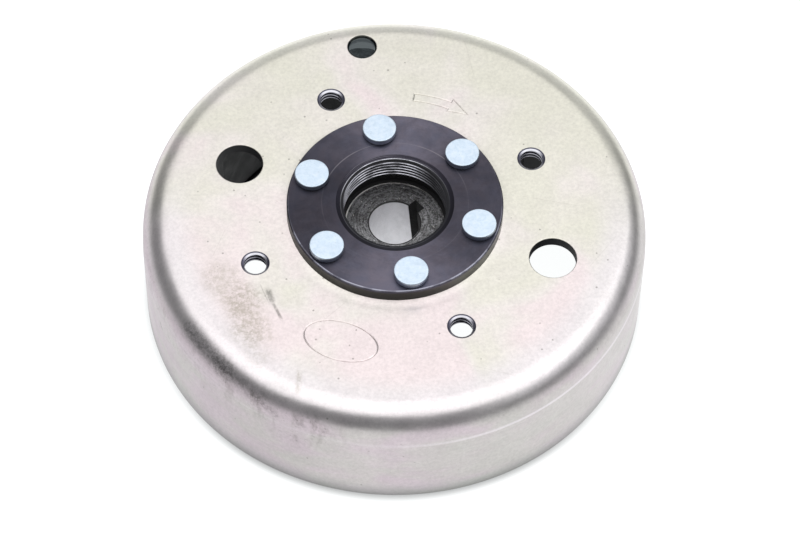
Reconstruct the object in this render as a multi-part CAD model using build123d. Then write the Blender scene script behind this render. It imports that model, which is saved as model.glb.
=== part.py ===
from build123d import *
import math
import os

# Magneto flywheel of a small scooter engine: a drawn steel cup riveted to a machined steel hub
# and lined with six ferrite magnets in a moulded nylon cage.
# Millimetres, +Z up. The crankshaft axis is Z. The origin is the centre of the open rim,
# which lies in the plane z = 0, and the closed plate with the hub's flange is on top.

# ---- driving dimensions -------------------------------------------------------------------
# Cup
CUP_RADIUS = 56.5             # over the turned lower band of the wall
CUP_HEIGHT = 29.0             # rim to the outer face of the plate
PLATE = 2.5                   # thickness of the closed end
WALL = 4.0                    # thickness of the wall, which is also the magnets' iron yoke
SHOULDER = 6.8                # outer bend between plate and wall
BAND_TOP = 20.5               # the wall is turned below this height, as drawn above it
BAND_STEP = 0.12              # how much prouder the turned band is left
RIM_CHAMFER = 0.4

# Holes in the plate
FAN_SCREW_CIRCLE = 34.0       # radius of the circle of threaded holes for the cooling fan
FAN_SCREW_START = 25.0        # angle of the first one, and three more a quarter turn apart
FAN_SCREWS = 4
TOOL_HOLE = 5.2               # radius of the two plain holes for a holding tool
TOOL_HOLE_CIRCLE = 37.1
TOOL_HOLE_START = 160.0
PEG_HOLE = 3.33               # radius of the hole that the cage's locating peg fills
PEG_CIRCLE = 46.8
PEG_ANGLE = 99.0
PEG_SLOPE = 40.0              # the peg's tip is sloped off towards the hub, this many degrees
PEG_RIDGE = 0.35              # how far past the peg's middle the slope begins

# Threads, both with a pitch of one millimetre: minor and major radius
PITCH = 1.0
PULLER_MINOR, PULLER_MAJOR = 11.46, 12.0       # M24 x 1 in the hub, for the puller
SCREW_MINOR, SCREW_MAJOR = 2.5, 3.0            # M6 x 1 in the plate
SCREW_MOUTH = 3.09

# Hub
FLANGE_RADIUS = 24.1
FLANGE = 3.2                  # how far the flange stands above the plate
COLLAR_RADIUS = 15.0          # the part of the hub that passes through the plate
COLLAR_DROP = 4.0             # how far the collar reaches below the plate
NOSE_RADIUS = 13.0
NOSE_BOTTOM = 3.5             # height of the hub's lower end above the rim
RECESS_DEPTH = 8.0            # from the flange's face to the floor that the shaft nut bears on
RECESS_MOUTH = 13.1
MOUTH_DEPTH = 0.3             # the mouth is dished from there to just outside the thread
THREAD_TURNS = 5
RELIEF_RADIUS = 12.15         # the plain groove between the thread and the recess floor
RELIEF_TOP_DEPTH = 5.6        # how far below the flange's face the groove begins
FLOOR_RADIUS = 11.15          # the floor is a disc that stands in the groove
FLOOR_STAND = 0.3
BORE_SMALL = 5.65             # radius of the tapered bore at the height of the recess floor
BORE_BREAK = 0.35             # the edge there is broken
TAPER = 0.1                   # radius gained for each millimetre down, a 1 in 5 taper
KEYWAY_WIDTH = 3.0
KEYWAY_DEPTH = 2.1
KEYWAY_ANGLE = 42.0

# Rivets
RIVETS = 6
RIVET_CIRCLE = 19.7
RIVET_START = 40.0
RIVET_HEAD = 3.82
RIVET_HEAD_HEIGHT = 1.6
RIVET_SHANK = 2.5
RIVET_TAIL = 3.7
RIVET_TAIL_HEIGHT = 1.5

# Magnets and their cage
MAGNETS = 6
MAGNET_START = 130.0          # centre of the first magnet; a pillar stands between each pair
MAGNET_ARC = 50.0
MAGNET_BOTTOM, MAGNET_TOP = 3.2, 22.8
MAGNET_BORE = 43.2            # radius of the magnets' inner faces
CAGE_BORE = 42.6              # radius of the cage's, which leaves room for a stator of 85 mm
CAGE_BOTTOM = 1.8
PILLAR_ARC = 9.0

# Trigger pad for the ignition pick-up, pressed out of the wall
PAD_ANGLE = 100.0
PAD_ARC = 40.0
PAD_STAND = 1.4
PAD_BOTTOM, PAD_TOP = 5.5, 16.5

# Marks stamped in the plate
STAMP_DEPTH = 0.18
STAMP_LINE = 0.3

# Fits
LOOSE = 0.05                  # gap left all round where one piece sits in another

# ---- sizes that follow ---------------------------------------------------------------------
PLATE_UNDER = CUP_HEIGHT - PLATE
CUP_BORE = CUP_RADIUS - WALL
FLANGE_FACE = CUP_HEIGHT + FLANGE
RECESS_FLOOR = FLANGE_FACE - RECESS_DEPTH
COLLAR_BOTTOM = PLATE_UNDER - COLLAR_DROP
BORE_LARGE = BORE_SMALL + TAPER * (RECESS_FLOOR - NOSE_BOTTOM)
INNER_BEND = SHOULDER - PLATE


def polar(radius, degrees, height=0.0):
    """The point at this radius and angle round the Z axis."""
    turn = math.radians(degrees)
    return (radius * math.cos(turn), radius * math.sin(turn), height)


def turned(outline):
    """The solid of revolution about Z of a closed outline of (radius, height) points."""
    edge = Polyline(*[(radius, 0, height) for radius, height in outline], close=True)
    return revolve(make_face(edge), Axis.Z)


def round_bar(radius, bottom, top):
    """A plain cylinder on the Z axis between two heights."""
    return Pos(0, 0, (bottom + top) / 2) * Cylinder(radius, top - bottom)


def sector(inner, outer, bottom, top, arc):
    """A piece of a ring, arc degrees long, centred on the X axis."""
    corners = [(inner, bottom), (outer, bottom), (outer, top), (inner, top)]
    edge = Polyline(*[(radius, 0, height) for radius, height in corners], close=True)
    return Rot(0, 0, -arc / 2) * revolve(make_face(edge), Axis.Z, arc)


def thread_outline(minor, major, top, turns):
    """Points down the wall of an internal thread, each turn a groove of its own.

    The crests between the grooves are flats at the minor radius, a quarter of the pitch wide.
    """
    points = []
    for turn in range(turns):
        middle = top - PITCH * (turn + 0.5)
        points.append((minor, middle + 0.375 * PITCH))
        points.append((major, middle + 0.0625 * PITCH))
        points.append((major, middle - 0.0625 * PITCH))
        points.append((minor, middle - 0.375 * PITCH))
    return points


def screw_hole():
    """The space cut by one M6 fan screw: a threaded hole with a broken edge at each face."""
    break_depth = SCREW_MOUTH - SCREW_MINOR
    below = PLATE_UNDER - 1.0
    above = CUP_HEIGHT + 1.0
    outline = [(0, below), (0, above), (SCREW_MOUTH, above), (SCREW_MOUTH, CUP_HEIGHT)]
    outline.append((SCREW_MINOR, CUP_HEIGHT - 0.5 * break_depth))
    outline += thread_outline(SCREW_MINOR, SCREW_MAJOR, CUP_HEIGHT - 0.3, 2)
    outline.append((SCREW_MINOR, below))
    return turned(outline)


def stamped(line):
    """The shallow groove that a flat shape leaves when it is struck into the plate."""
    return extrude(Pos(0, 0, CUP_HEIGHT - STAMP_DEPTH) * line, STAMP_DEPTH + 1.0)


def rotation_arrow():
    """The outline of the arrow that shows which way the engine turns, clockwise."""
    inner, outer, middle = 31.0, 33.0, 31.6
    tail, neck, tip = 82.0, 66.7, 58.3
    barb_outward, barb_inward = 0.95, 0.7
    shaft_in = CenterArc((0, 0), inner, neck, tail - neck)
    shaft_out = CenterArc((0, 0), outer, neck, tail - neck)
    tail_end = Line(polar(inner, tail), polar(outer, tail))
    barb_out = polar(outer + barb_outward, neck)
    barb_in = polar(inner - barb_inward, neck)
    head = Polyline(polar(outer, neck), barb_out, polar(middle, tip), barb_in, polar(inner, neck))
    whole = make_face(Curve() + [shaft_in, tail_end, shaft_out, head])
    return whole - offset(whole, -STAMP_LINE)


def inspection_oval():
    """The outline of the plain oval stamp, its long way round the axis."""
    radius, degrees = 36.7, 251.0
    along, across = 8.3, 4.9
    ring = Ellipse(along, across) - Ellipse(along - STAMP_LINE, across - STAMP_LINE)
    return Pos(*polar(radius, degrees)) * Rot(0, 0, degrees + 90) * ring


def cup_shell():
    """The drawn cup before its holes: plate, wall, bends and the step of the turned band."""
    drawn = CUP_RADIUS - BAND_STEP
    outline = [(0, CUP_HEIGHT), (drawn, CUP_HEIGHT), (drawn, BAND_TOP + BAND_STEP)]
    outline += [(CUP_RADIUS, BAND_TOP), (CUP_RADIUS, RIM_CHAMFER), (CUP_RADIUS - RIM_CHAMFER, 0)]
    outline += [(CUP_BORE + RIM_CHAMFER, 0), (CUP_BORE, RIM_CHAMFER)]
    outline += [(CUP_BORE, PLATE_UNDER), (0, PLATE_UNDER)]
    shell = turned(outline)
    rings = shell.edges().filter_by(GeomType.CIRCLE)
    shell = fillet(rings.filter_by_position(Axis.Z, CUP_HEIGHT, CUP_HEIGHT), SHOULDER)
    rings = shell.edges().filter_by(GeomType.CIRCLE)
    return fillet(rings.filter_by_position(Axis.Z, PLATE_UNDER, PLATE_UNDER), INNER_BEND)


def trigger_pad():
    """The low pad on the wall whose two ends time the spark."""
    root = CUP_RADIUS - 1.0
    pad = sector(root, CUP_RADIUS + PAD_STAND, PAD_BOTTOM, PAD_TOP, PAD_ARC)
    face = pad.faces().filter_by(GeomType.CYLINDER).sort_by(SortBy.AREA)[-1]
    return Rot(0, 0, PAD_ANGLE) * fillet(face.edges(), 0.5 * PAD_STAND)


def rotor_cup():
    cup = cup_shell() + trigger_pad()
    through = (PLATE_UNDER - 1.0, CUP_HEIGHT + 1.0)
    cup -= round_bar(COLLAR_RADIUS + LOOSE, *through)
    for angle in rivet_angles():
        cup -= Pos(*polar(RIVET_CIRCLE, angle)) * round_bar(RIVET_SHANK + LOOSE, *through)
    hole = screw_hole()
    for place in range(FAN_SCREWS):
        angle = FAN_SCREW_START + 360.0 / FAN_SCREWS * place
        cup -= Pos(*polar(FAN_SCREW_CIRCLE, angle)) * hole
    for angle in (TOOL_HOLE_START, TOOL_HOLE_START + 180.0):
        cup -= Pos(*polar(TOOL_HOLE_CIRCLE, angle)) * round_bar(TOOL_HOLE, *through)
    cup -= Pos(*polar(PEG_CIRCLE, PEG_ANGLE)) * round_bar(PEG_HOLE, *through)
    cup -= stamped(rotation_arrow())
    cup -= stamped(inspection_oval())
    return cup


def rivet_angles():
    return [RIVET_START + 360.0 / RIVETS * place for place in range(RIVETS)]


def hub():
    """Flange, collar and nose in one turning, with the nut recess, taper and keyway."""
    edge = 0.3
    bearing = 0.5
    thread_top = FLANGE_FACE - MOUTH_DEPTH
    relief_top = FLANGE_FACE - RELIEF_TOP_DEPTH
    relief_bottom = RECESS_FLOOR - FLOOR_STAND
    outline = [(FLANGE_RADIUS - edge, FLANGE_FACE), (FLANGE_RADIUS, FLANGE_FACE - edge)]
    outline += [(FLANGE_RADIUS, CUP_HEIGHT), (COLLAR_RADIUS, CUP_HEIGHT)]
    outline += [(COLLAR_RADIUS, COLLAR_BOTTOM), (NOSE_RADIUS, COLLAR_BOTTOM - 2.0)]
    outline += [(NOSE_RADIUS, NOSE_BOTTOM + bearing), (NOSE_RADIUS - bearing, NOSE_BOTTOM)]
    outline += [(BORE_LARGE, NOSE_BOTTOM), (BORE_SMALL + TAPER * BORE_BREAK, RECESS_FLOOR - BORE_BREAK)]
    outline += [(BORE_SMALL + BORE_BREAK, RECESS_FLOOR)]
    outline += [(FLOOR_RADIUS - edge, RECESS_FLOOR), (FLOOR_RADIUS, RECESS_FLOOR - 0.3 * edge)]
    outline += [(FLOOR_RADIUS, relief_bottom), (RELIEF_RADIUS, relief_bottom)]
    outline += [(RELIEF_RADIUS, relief_top), (PULLER_MINOR, relief_top)]
    outline += reversed(thread_outline(PULLER_MINOR, PULLER_MAJOR, thread_top, THREAD_TURNS))
    outline += [(RELIEF_RADIUS, thread_top), (RECESS_MOUTH, FLANGE_FACE)]
    body = turned(outline)
    for angle in rivet_angles():
        shank = round_bar(RIVET_SHANK + LOOSE, CUP_HEIGHT - 1.0, FLANGE_FACE + 1.0)
        body -= Pos(*polar(RIVET_CIRCLE, angle)) * shank
    return body - keyway()


def keyway():
    """The slot for the shaft's key. Its bottom follows the taper at a constant depth."""
    low, high = NOSE_BOTTOM - 1.0, RECESS_FLOOR + 1.0
    outer_low = BORE_SMALL + KEYWAY_DEPTH + TAPER * (RECESS_FLOOR - low)
    outer_high = BORE_SMALL + KEYWAY_DEPTH + TAPER * (RECESS_FLOOR - high)
    side = Polyline((0, 0, low), (outer_low, 0, low), (outer_high, 0, high), (0, 0, high), close=True)
    slot = extrude(make_face(side), KEYWAY_WIDTH / 2, both=True)
    recess = round_bar(PULLER_MINOR, RECESS_FLOOR, high + 1.0)
    return Rot(0, 0, KEYWAY_ANGLE) * (slot - recess)


def rivet(angle):
    """A flat-headed rivet, closed by a low snap head under the plate."""
    top = FLANGE_FACE + RIVET_HEAD_HEIGHT
    edge = 0.15
    tail = PLATE_UNDER - RIVET_TAIL_HEIGHT
    outline = [(0, top), (RIVET_HEAD - edge, top), (RIVET_HEAD, top - edge)]
    outline += [(RIVET_HEAD, FLANGE_FACE), (RIVET_SHANK, FLANGE_FACE), (RIVET_SHANK, PLATE_UNDER)]
    outline += [(RIVET_TAIL, PLATE_UNDER), (RIVET_TAIL, PLATE_UNDER - 0.4)]
    outline += [(0.8 * RIVET_TAIL, PLATE_UNDER - 1.0), (0.4 * RIVET_TAIL, tail), (0, tail)]
    return Pos(*polar(RIVET_CIRCLE, angle)) * turned(outline)


def magnet(angle):
    """One ferrite arc with its long edges ground off."""
    outer = CUP_BORE - LOOSE
    body = sector(MAGNET_BORE, outer, MAGNET_BOTTOM, MAGNET_TOP, MAGNET_ARC)
    upright = body.edges().filter_by(Axis.Z)
    return Rot(0, 0, angle) * chamfer(upright, 0.8)


def magnet_cage():
    """Two rings joined by six pillars, with a window for each magnet and a peg on top."""
    outer = CUP_BORE - LOOSE
    clear = 0.1
    upper = MAGNET_TOP + clear
    lower = MAGNET_BOTTOM - clear
    bend = outer - INNER_BEND
    top = PLATE_UNDER - LOOSE
    cage = turned([(CAGE_BORE, upper), (outer - 3 * LOOSE, upper), (bend, top), (CAGE_BORE, top)])
    cage += turned([(CAGE_BORE, CAGE_BOTTOM), (outer, CAGE_BOTTOM), (outer, lower), (CAGE_BORE, lower)])
    pillar = sector(CAGE_BORE, outer, lower, upper, PILLAR_ARC)
    for place in range(MAGNETS):
        angle = MAGNET_START + 360.0 / MAGNETS * (place + 0.5)
        cage += Rot(0, 0, angle) * pillar
    return cage + locating_peg()


def locating_peg():
    """The peg that fills the hole in the plate, its low domed tip sloped off towards the hub."""
    radius = PEG_HOLE - 0.03
    crown = 0.6
    sunk = 0.1
    rim = CUP_HEIGHT - sunk - crown
    dome_radius = (radius ** 2 + crown ** 2) / (2 * crown)
    ball = Pos(0, 0, rim + crown - dome_radius) * Sphere(dome_radius)
    post = round_bar(radius, PLATE_UNDER - 1.0, CUP_HEIGHT)
    size = 4 * radius
    ridge = Pos(0, -PEG_RIDGE, CUP_HEIGHT - 1.5 * sunk)
    slope = ridge * Rot(PEG_SLOPE, 0, 0) * Pos(0, -size / 2, size / 2) * Box(size, size, size)
    return Pos(*polar(PEG_CIRCLE, PEG_ANGLE)) * ((post & ball) - slope)


def write(name, solid):
    export_step(solid, f"parts/{name}.step")


os.makedirs("parts", exist_ok=True)
write("rotor_cup", rotor_cup())
write("hub", hub())
write("magnet_cage", magnet_cage())
for number, angle in enumerate(rivet_angles(), start=1):
    write(f"rivet_{number}", rivet(angle))
for number in range(1, MAGNETS + 1):
    write(f"magnet_{number}", magnet(MAGNET_START + 360.0 / MAGNETS * (number - 1)))
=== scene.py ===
# %% [markdown]
# # A magneto flywheel
# This lesson dresses a magneto flywheel, the spinning part of a scooter engine that carries the
# generator's magnets. A steel cup is riveted to a machined hub, and a plastic cage inside holds six
# magnets. The engineering model comes first, as a fixed frame. Each piece is then built again as a
# finer mesh in the same place, with a finish of its own.

# %% Load the frame
import math
import random

import bmesh
import bpy
from mathutils import Matrix, Vector, noise


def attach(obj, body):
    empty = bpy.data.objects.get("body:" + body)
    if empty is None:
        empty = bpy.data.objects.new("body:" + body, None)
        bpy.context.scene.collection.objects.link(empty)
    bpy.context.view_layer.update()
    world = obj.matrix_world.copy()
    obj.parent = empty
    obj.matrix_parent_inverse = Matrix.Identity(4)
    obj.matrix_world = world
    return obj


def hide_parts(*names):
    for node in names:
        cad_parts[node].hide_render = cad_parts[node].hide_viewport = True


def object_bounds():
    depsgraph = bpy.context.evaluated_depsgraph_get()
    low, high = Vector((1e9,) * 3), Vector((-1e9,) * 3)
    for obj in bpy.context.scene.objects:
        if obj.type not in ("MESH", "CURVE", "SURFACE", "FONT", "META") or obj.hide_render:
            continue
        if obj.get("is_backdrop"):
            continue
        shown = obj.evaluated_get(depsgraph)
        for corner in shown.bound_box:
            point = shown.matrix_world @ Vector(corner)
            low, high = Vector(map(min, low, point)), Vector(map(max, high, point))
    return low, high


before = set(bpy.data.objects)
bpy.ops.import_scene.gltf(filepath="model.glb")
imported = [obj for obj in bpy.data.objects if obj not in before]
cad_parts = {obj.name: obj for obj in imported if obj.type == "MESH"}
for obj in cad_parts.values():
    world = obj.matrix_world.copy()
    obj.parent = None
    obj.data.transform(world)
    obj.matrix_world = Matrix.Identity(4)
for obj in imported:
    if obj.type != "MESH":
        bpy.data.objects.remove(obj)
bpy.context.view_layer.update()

MM = 0.001
print("nodes in the frame:", ", ".join(sorted(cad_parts)))

# %% [markdown]
# The camera is a long lens, a little under 80 centimetres from the part, looking down on the plate
# at about 56 degrees. A long lens keeps the near and far sides of the cup almost the same size.
# Blender's camera looks along its own -Z with +Y up, so its three axes are built from a heading, a
# downward tilt and a small roll, and written as a matrix.

# %% Camera
def look(place, heading, tilt, roll):
    """A camera matrix at a place: heading clockwise from +Y, tilt down and roll, in degrees."""
    heading, tilt, roll = (math.radians(angle) for angle in (heading, tilt, roll))
    ahead = Vector((math.sin(heading) * math.cos(tilt), math.cos(heading) * math.cos(tilt),
                    -math.sin(tilt)))
    level_right = ahead.cross(Vector((0, 0, 1))).normalized()
    level_up = level_right.cross(ahead)
    right = math.cos(roll) * level_right + math.sin(roll) * level_up
    up = math.cos(roll) * level_up - math.sin(roll) * level_right
    turn = Matrix((right, up, -ahead)).transposed()
    return Matrix.Translation(place) @ turn.to_4x4()


CAMERA_PLACE = Vector((-10.3, -431.8, 639.1))     # millimetres from the rim's centre
HEADING, TILT, ROLL = 1.56, 55.66, 1.455
LENS = 150.95

camera = bpy.data.objects.new("camera", bpy.data.cameras.new("camera"))
bpy.context.collection.objects.link(camera)
camera.matrix_world = look(CAMERA_PLACE * MM, HEADING, TILT, ROLL)
camera.data.sensor_width = 36
camera.data.lens = LENS
camera.data.clip_start = 0.01
bpy.context.scene.camera = camera
print("camera is", round(camera.matrix_world.translation.length, 3), "m from the rim's centre")

# %% [markdown]
# A finish is built from shader nodes. Writing a node, its settings and its links takes several
# lines each time, so a few short helpers keep the recipes readable. Every pattern is worked out
# from the object's own coordinates, in millimetres, so it stays fixed to the metal.

# %% Helpers for node materials
def new_material(name):
    """An empty node material with its tree and its one Principled shader."""
    material = bpy.data.materials.new(name)
    material.use_nodes = True
    tree = material.node_tree
    shader = tree.nodes["Principled BSDF"]
    return material, tree, shader


def node(tree, kind, inputs, **settings):
    """A shader node. Each input is given a value, or is joined to another node's output."""
    made = tree.nodes.new("ShaderNode" + kind)
    for name, value in settings.items():
        setattr(made, name, value)
    for place, value in inputs.items():
        if isinstance(value, bpy.types.NodeSocket):
            tree.links.new(value, made.inputs[place])
        else:
            made.inputs[place].default_value = value
    return made


def calc(tree, what, *values):
    return node(tree, "Math", dict(enumerate(values)), operation=what).outputs[0]


def times(tree, *factors):
    """The product of two or more values."""
    product = factors[0]
    for factor in factors[1:]:
        product = node(tree, "Math", {0: product, 1: factor}, operation="MULTIPLY").outputs[0]
    return product


def between(tree, value, low, high, to_low=0.0, to_high=1.0):
    """Maps low..high to to_low..to_high with soft ends, and holds it there outside."""
    places = {0: value, 1: low, 2: high, 3: to_low, 4: to_high}
    return node(tree, "MapRange", places, interpolation_type="SMOOTHSTEP").outputs[0]


def blotches(tree, where, size, detail=3.0, roughness=0.55, warp=0.0):
    """Soft noise from 0 to 1 whose blotches are about size across."""
    places = {"Vector": where, "Scale": 1.0 / size, "Detail": detail, "Roughness": roughness,
              "Distortion": warp}
    return node(tree, "TexNoise", places).outputs[0]


def blend(tree, share, first, second, way="MIX"):
    """Mixes two colours by share."""
    places = {0: share, 6: first, 7: second}
    return node(tree, "Mix", places, data_type="RGBA", blend_type=way).outputs[2]


def lightened(tree, color, level):
    """A colour multiplied by one level, so that its hue stays."""
    grey = node(tree, "CombineColor", {0: level, 1: level, 2: level}).outputs[0]
    return blend(tree, 1.0, color, grey, "MULTIPLY")


def strongest(tree, masks):
    """The highest of several masks at each point."""
    highest = masks[0]
    for mask in masks[1:]:
        highest = calc(tree, "MAXIMUM", highest, mask)
    return highest


def shades(tree, value, *stops):
    """Colours along a scale of 0 to 1, as (place, colour) pairs."""
    made = node(tree, "ValToRGB", {0: value})
    strip = made.color_ramp.elements
    while len(strip) < len(stops):
        strip.new(0.5)
    for stop, (place, color) in zip(strip, stops):
        stop.position = place
        stop.color = (*color, 1)
    return made.outputs[0]


def stretched(tree, where, x, y, z):
    """The coordinates multiplied along each axis."""
    places = {0: where, 1: (x, y, z)}
    return node(tree, "VectorMath", places, operation="MULTIPLY").outputs[0]


def shifted(tree, where, x, y, z):
    places = {0: where, 1: (x, y, z)}
    return node(tree, "VectorMath", places, operation="ADD").outputs[0]


def object_place(tree):
    """The point being shaded in millimetres, its distance from the axis and its height."""
    given = node(tree, "TexCoord", {}).outputs["Object"]
    where = stretched(tree, given, 1000, 1000, 1000)
    flat = stretched(tree, where, 1, 1, 0)
    radius = node(tree, "VectorMath", {0: flat}, operation="LENGTH").outputs["Value"]
    height = node(tree, "SeparateXYZ", {0: where}).outputs[2]
    return where, radius, height


def round_the_axis(tree, where, radius, height, along, fineness):
    """Coordinates whose noise is drawn out along circles round the axis, as turned marks are."""
    flat = stretched(tree, where, 1, 1, 0)
    outward = node(tree, "VectorMath", {0: flat}, operation="NORMALIZE").outputs[0]
    ahead = stretched(tree, outward, along, along, 0)
    level = times(tree, calc(tree, "ADD", radius, height), fineness)
    across = node(tree, "CombineXYZ", {2: level}).outputs[0]
    return node(tree, "VectorMath", {0: ahead, 1: across}, operation="ADD").outputs[0]


def near_line(tree, where, start, end, inside, outside):
    """1 within inside of the line from start to end, fading to 0 at outside."""
    start, end = Vector(start), Vector(end)
    along = end - start
    local = shifted(tree, where, *(-start))
    part = node(tree, "VectorMath", {0: local, 1: along / along.length_squared},
                operation="DOT_PRODUCT").outputs["Value"]
    held = node(tree, "Clamp", {0: part}).outputs[0]
    foot = node(tree, "VectorMath", {0: along, "Scale": held}, operation="SCALE").outputs[0]
    away = node(tree, "VectorMath", {0: local, 1: foot}, operation="DISTANCE").outputs["Value"]
    return between(tree, away, inside, outside, 1, 0)


def raised(tree, height, distance, strength=1.0, over=None):
    """A bump from a height of 0 to 1, distance deep in millimetres, laid over another bump."""
    places = {"Height": height, "Distance": distance * MM, "Strength": strength}
    if over is not None:
        places["Normal"] = over
    return node(tree, "Bump", places).outputs[0]


# %% [markdown]
# The real part lies on a white light table under a large overhead softbox. The light table matters:
# it fills the holes and lights the wall from below. So the floor here glows softly as well as
# scattering light. The room on the camera's side is left dim, and that dark strip is what draws the
# grey line round the front of the shoulder, where polished metal mirrors it.

# %% Floor and light
CONTACT_RADIUS = 56.1            # where the rim touches the table, in millimetres
SHADE_REACH = 2.6                # how far from the rim the part shades the table
TABLE_GLOW = 0.97
FLOOR_HALF = 12.0                # large enough that a low view never looks past its edge


def softbox(name, place, target, size, strength, color=(1, 1, 1)):
    """A rectangular lamp of a given size in metres at place, facing target."""
    data = bpy.data.lights.new(name, "AREA")
    data.shape = "RECTANGLE"
    data.size, data.size_y = size
    data.energy = strength
    data.color = color
    lamp = bpy.data.objects.new(name, data)
    bpy.context.collection.objects.link(lamp)
    lamp.location = place
    lamp.rotation_euler = (Vector(target) - Vector(place)).to_track_quat("-Z", "Y").to_euler()


def light_table():
    """The glowing white floor. Its glow fades close to the rim, where the part shades it."""
    material, tree, shader = new_material("light_table")
    shader.inputs["Base Color"].default_value = (0.28, 0.28, 0.28, 1)
    shader.inputs["Roughness"].default_value = 0.5
    where, radius, height = object_place(tree)
    from_rim = calc(tree, "ABSOLUTE", calc(tree, "SUBTRACT", radius, CONTACT_RADIUS))
    place = node(tree, "SeparateXYZ", {0: where})
    frontness = between(tree, calc(tree, "DIVIDE", place.outputs[1], radius), -0.45, -0.9)
    shade = times(tree, between(tree, from_rim, 0.0, SHADE_REACH, 1.0, 0.0),
                  calc(tree, "ADD", times(tree, frontness, 0.34), 0.26))
    outside = calc(tree, "SUBTRACT", 1.0, shade)
    grain = between(tree, blotches(tree, where, 40), 0.2, 0.8, 0.985, 1.0)
    sideways = calc(tree, "ABSOLUTE", place.outputs[0])
    table_end = between(tree, sideways, 100, 230, 1.0, 0.25)
    glow = times(tree, outside, grain, times(tree, table_end, TABLE_GLOW))
    shader.inputs["Emission Color"].default_value = (0.98, 1, 1, 1)
    tree.links.new(glow, shader.inputs["Emission Strength"])
    half = FLOOR_HALF
    mesh = bpy.data.meshes.new("floor")
    mesh.from_pydata([(-half, -half, 0), (half, -half, 0), (half, half, 0), (-half, half, 0)], [],
                     [(0, 1, 2, 3)])
    mesh.materials.append(material)
    floor = bpy.data.objects.new("floor", mesh)
    bpy.context.collection.objects.link(floor)
    floor.location.z = -0.02 * MM
    floor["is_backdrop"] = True


def dim_room():
    """A dim room, lighter behind the part and on its right than on the camera's side."""
    room = bpy.data.worlds.new("room")
    bpy.context.scene.world = room
    room.use_nodes = True
    tree = room.node_tree
    direction = node(tree, "SeparateXYZ", {0: node(tree, "TexCoord", {}).outputs["Generated"]})
    back = between(tree, direction.outputs[1], 0.68, 0.95, 0.0, 0.62)
    right = between(tree, direction.outputs[0], 0.40, 0.68, 0.0, 0.42)
    raised_up = between(tree, direction.outputs[2], 0.24, 0.42)
    strength = calc(tree, "ADD", calc(tree, "ADD", 0.20, back), times(tree, right, raised_up))
    tree.nodes["Background"].inputs["Color"].default_value = (0.96, 0.98, 1.0, 1)
    tree.links.new(strength, tree.nodes["Background"].inputs["Strength"])


light_table()
dim_room()
softbox("overhead_softbox", (0.10, 0.24, 1.0), (0.10, 0.24, 0), (2.2, 1.95), 12.7)
softbox("zenith_softbox", (0.05, -0.12, 1.1), (0.05, -0.12, 0), (1.7, 1.0), 1.8)
bpy.context.scene.view_settings.view_transform = "Standard"

# %% [markdown]
# Nearly every piece here was made on a lathe or in a round die, so one helper does most of the
# shaping: it turns a list of radius and height pairs about the vertical axis. Blender has a Screw
# modifier for this, but a few lines of bmesh give control over where the rings of vertices fall,
# and that decides how the light runs over a bend. Outlines are written in millimetres.

# %% Turning a shape
ROUND_STEPS = 288


def turned(outline, steps=ROUND_STEPS, centre=(0, 0)):
    """A bmesh of a closed outline of (radius, height) points, turned about a vertical axis."""
    shape = bmesh.new()
    rings = []
    for radius, height in outline:
        count = steps if radius > 0 else 1
        ring = []
        for step in range(count):
            turn = math.tau * step / count
            place = (centre[0] + radius * math.cos(turn), centre[1] + radius * math.sin(turn),
                     height)
            ring.append(shape.verts.new(Vector(place) * MM))
        rings.append(ring)
    for ring, following in zip(rings, rings[1:] + rings[:1]):
        if len(ring) == len(following) == 1:
            continue
        for step in range(steps):
            here, ahead = step, (step + 1) % steps
            corners = [ring[here % len(ring)], ring[ahead % len(ring)],
                       following[ahead % len(following)], following[here % len(following)]]
            shape.faces.new(list(dict.fromkeys(corners)))
    bmesh.ops.recalc_face_normals(shape, faces=shape.faces)
    return shape


def bend(centre, radius, start, end, steps):
    """Outline points along an arc round centre, from one angle to another, in degrees."""
    points = []
    for step in range(steps + 1):
        turn = math.radians(start + (end - start) * step / steps)
        points.append((centre[0] + radius * math.cos(turn), centre[1] + radius * math.sin(turn)))
    return points


def to_object(name, shape):
    """Puts a bmesh into the scene as an object of its own."""
    mesh = bpy.data.meshes.new(name)
    shape.to_mesh(mesh)
    shape.free()
    made = bpy.data.objects.new(name, mesh)
    bpy.context.collection.objects.link(made)
    return made


def smooth(made, degrees=22):
    """Smooth shading, with a crease wherever two faces meet at more than this angle."""
    for face in made.data.polygons:
        face.use_smooth = True
    made.data.set_sharp_from_angle(angle=math.radians(degrees))
    weighted = made.modifiers.new("flats_stay_flat", "WEIGHTED_NORMAL")
    weighted.mode = "FACE_AREA"
    weighted.weight = 80
    weighted.keep_sharp = True


# %% [markdown]
# Holes, slots and stamps are cut with Booleans, as a drill or a punch would: the cutter is a solid
# of its own, and what it overlaps is taken away. The newer Manifold solver is quick and leaves a
# closed mesh, which matters when the mesh is to be printed or measured later.

# %% Cutting
def combine(target, tool, operation="DIFFERENCE"):
    """Cuts tool out of target, or joins the two, and throws tool away."""
    step = target.modifiers.new("work", "BOOLEAN")
    step.operation = operation
    step.solver = "MANIFOLD"
    step.object = tool
    bpy.context.view_layer.update()
    done = target.evaluated_get(bpy.context.evaluated_depsgraph_get())
    mesh = bpy.data.meshes.new_from_object(done)
    target.modifiers.clear()
    before = target.data
    target.data = mesh
    bpy.data.meshes.remove(before)
    bpy.data.objects.remove(tool)


def cut(target, outline, centre=(0, 0), steps=64):
    """Cuts a turned shape out of target."""
    combine(target, to_object("tool", turned(outline, steps, centre)))


# %% [markdown]
# A screw thread is one groove that winds round and climbs by its pitch each turn. The tap that
# cuts it is built as a grid of vertices that climbs the same way, so that every edge follows the
# helix. At both ends the ridge fades to nothing, as it does where a real tap runs out.

# %% A tap for internal threads
THREAD_DEPTH_SHARE = 0.5413      # depth of an internal metric thread, in pitches
TAP_RELIEF = 0.12                # how far the tap's core stays clear of the hole's wall


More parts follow.
